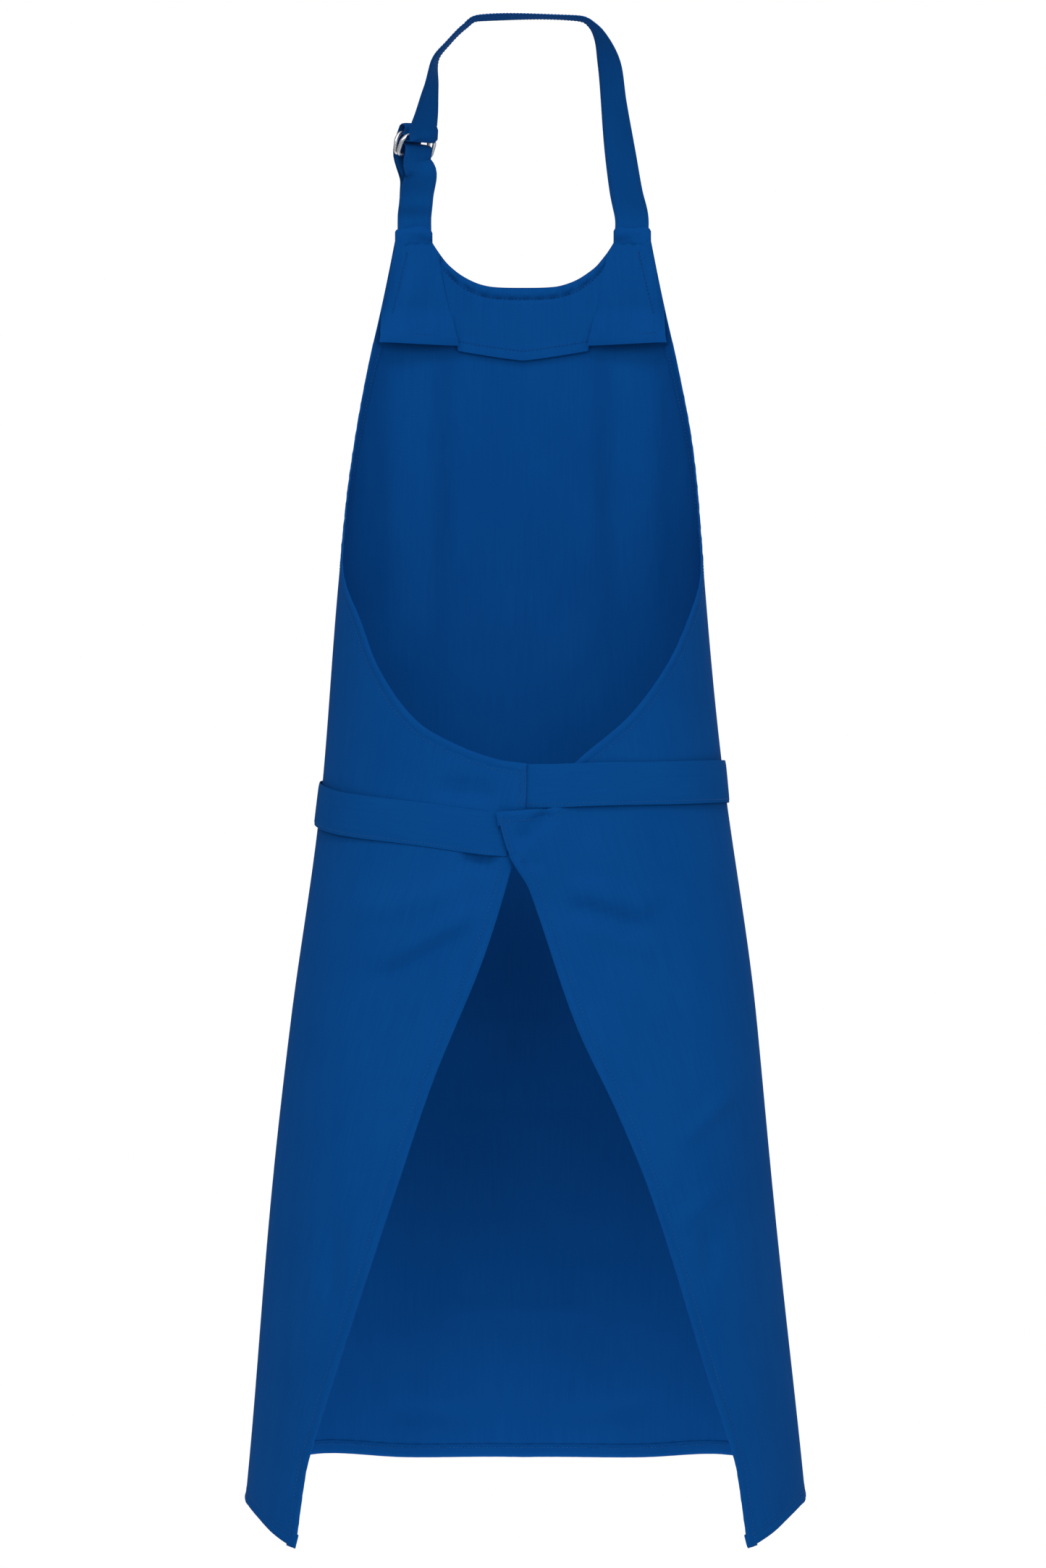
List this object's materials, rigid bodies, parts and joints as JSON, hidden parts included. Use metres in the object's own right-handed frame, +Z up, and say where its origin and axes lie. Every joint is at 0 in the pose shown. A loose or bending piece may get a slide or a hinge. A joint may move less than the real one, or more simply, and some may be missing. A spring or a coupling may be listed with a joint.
{
  "type": "welding apron",
  "caption": "Cotton twill bib apron with back wings, waist ties knotted in front, and a neck strap held by a pair of wire rings.",
  "frame": {"origin": "middle of the neck strap's crown, on its underside, where the strap lies on the wearer's neck", "axes": "+Z up the standing wearer, +Y the way the wearer faces, +X to the wearer's right"},
  "size_m": [0.4254, 0.2653, 1.149],
  "materials": {
    "twill": "matt royal blue cotton twill",
    "strap_twill": "matt royal blue cotton twill, doubled and stitched",
    "tie_twill": "matt royal blue cotton twill, doubled and stitched",
    "ring_wire": "bright nickel plate"
  },
  "bodies": {
    "neck_loop": {"neck_strap": "strap_twill", "ring_tab": "strap_twill"},
    "inner_ring": {"ring_inner": "ring_wire"},
    "outer_ring": {"ring_outer": "ring_wire"},
    "apron": {"main_panel": "twill", "neck_facing_centre": "twill", "side_facing_left": "twill", "side_facing_right": "twill", "strap_casing_left": "twill", "strap_casing_right": "twill", "strap_tail": "strap_twill", "waist_tie_left": "tie_twill", "waist_tie_right": "tie_twill", "bow_knot": "tie_twill", "bow_loop_left": "tie_twill", "bow_loop_right": "tie_twill", "tie_end_left": "tie_twill", "tie_end_right": "tie_twill"}
  },
  "joints": [
    {"name": "bib_swing", "type": "hinge", "parent": "neck_loop", "child": "apron", "pos_m": [0, 0.066, -0.15], "axis": [1, 0, 0], "range_deg": [-60, 75]},
    {"name": "inner_ring_tilt", "type": "hinge", "parent": "neck_loop", "child": "inner_ring", "pos_m": [-0.08285, 0.04962, -0.09762], "axis": [0.766, 0.6428, 0], "range_deg": [-6, 6]},
    {"name": "outer_ring_tilt", "type": "hinge", "parent": "neck_loop", "child": "outer_ring", "pos_m": [-0.08515, 0.05238, -0.09638], "axis": [0.766, 0.6428, 0], "range_deg": [-6, 6]}
  ]
}
